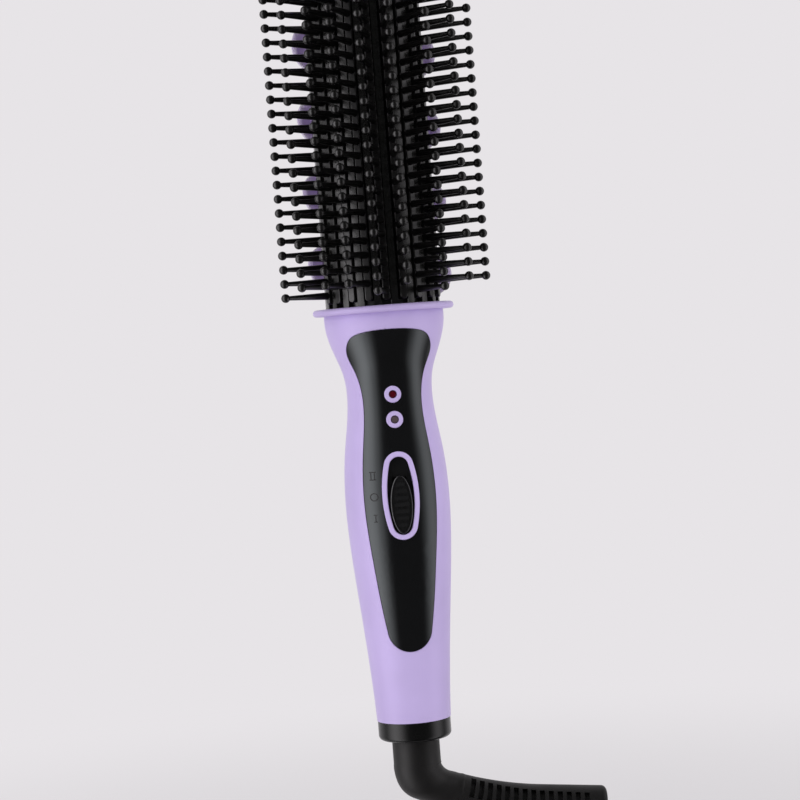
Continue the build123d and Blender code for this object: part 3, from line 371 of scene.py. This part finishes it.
def room_in_gloss(g):
    """Strength of the room by direction, for reflections."""
    aim = g.node("ShaderNodeSeparateXYZ", {0: g.place("Generated")}).outputs
    front = g.math("MULTIPLY", aim["Y"], -1.0)
    azimuth = g.math("MULTIPLY", g.math("ARCTAN2", aim["X"], front), 180 / math.pi)
    total = DARK_FRONT
    for middle, width, radiance in GLOW_LOBES:
        away = g.math("ABSOLUTE", g.math("SUBTRACT", azimuth, middle))
        total = g.math("ADD", total, g.fade(away, width, 0.0, 0.0, radiance))
    height = g.math("ABSOLUTE", aim["Z"])
    total = g.math("MULTIPLY", total, g.fade(height, 0.95, 0.6))
    behind = g.fade(g.math("ABSOLUTE", azimuth), *BEHIND)
    return g.math("ADD", g.math("MULTIPLY", total, g.math("SUBTRACT", 1.0, behind)), behind)


def set_world():
    """Pale to the camera, an even light for the object, and a dim room in reflections."""
    world = bpy.data.worlds.new("studio")
    bpy.context.scene.world = world
    world.use_nodes = True
    g = Graph(world.node_tree)
    path = g.node("ShaderNodeLightPath").outputs
    shown = g.node("ShaderNodeBackground", {"Color": BACKGROUND, "Strength": 1.0}).outputs[0]
    fill = g.node("ShaderNodeBackground", {"Color": (1, 1, 1, 1), "Strength": FILL}).outputs[0]
    room = g.node("ShaderNodeBackground", {"Color": BACKGROUND, "Strength": room_in_gloss(g)}).outputs[0]
    lit = g.blend(path["Is Glossy Ray"], fill, room)
    seen = g.math("MAXIMUM", path["Is Camera Ray"], path["Is Transmission Ray"])
    g.finish("ShaderNodeOutputWorld", g.blend(seen, lit, shown))


def floor_material():
    """Takes the object's shadow near it, goes over to a plain colour, and leaves gloss to the room."""
    material = bpy.data.materials.new("floor_white")
    material.use_nodes = True
    g = Graph(material.node_tree)
    path = g.node("ShaderNodeLightPath").outputs
    diffuse = g.node("ShaderNodeBsdfDiffuse", {"Color": BACKGROUND}).outputs[0]
    glow = g.node("ShaderNodeEmission", {"Color": BACKGROUND, "Strength": 1.0}).outputs[0]
    clear = g.node("ShaderNodeBsdfTransparent").outputs[0]
    away = g.node("ShaderNodeVectorMath", {0: g.place()}, operation="LENGTH").outputs["Value"]
    seen = g.math("MAXIMUM", path["Is Camera Ray"], path["Is Transmission Ray"])
    far = g.math("MULTIPLY", g.fade(away, *SHADOW_REACH), seen)
    g.finish("ShaderNodeOutputMaterial", g.blend(path["Is Glossy Ray"], g.blend(far, diffuse, glow), clear))
    return material


def add_floor():
    mesh = bpy.data.meshes.new("floor")
    corners = [(FLOOR_HALF * x, FLOOR_HALF * y, 0) for x, y in ((-1, -1), (1, -1), (1, 1), (-1, 1))]
    mesh.from_pydata(corners, [], [(0, 1, 2, 3)])
    floor = bpy.data.objects.new("floor", mesh)
    floor.location.z = cad_box[0][2] - FLOOR_DROP
    mesh.materials.append(floor_material())
    bpy.context.scene.collection.objects.link(floor)


def softbox(name, azimuth, height, distance, width, tall, radiance):
    """Area lamp aimed at the object. The azimuth goes round from the front, positive to +X."""
    angle = math.radians(azimuth)
    place = Vector((distance * math.sin(angle), -distance * math.cos(angle), height))
    data = bpy.data.lights.new(name, "AREA")
    data.shape = "RECTANGLE"
    data.size, data.size_y = width, tall
    data.energy = radiance * math.pi * width * tall
    lamp = bpy.data.objects.new(name, data)
    lamp.rotation_euler = (LAMP_TARGET - place).to_track_quat("-Z", "Y").to_euler()
    lamp.location = place
    lamp.visible_glossy = False
    bpy.context.scene.collection.objects.link(lamp)


set_camera()
dress_nodes()
add_marks()
set_world()
add_floor()
for lamp in SOFTBOXES:
    softbox(*lamp)
bpy.context.scene.view_settings.view_transform = "Standard"
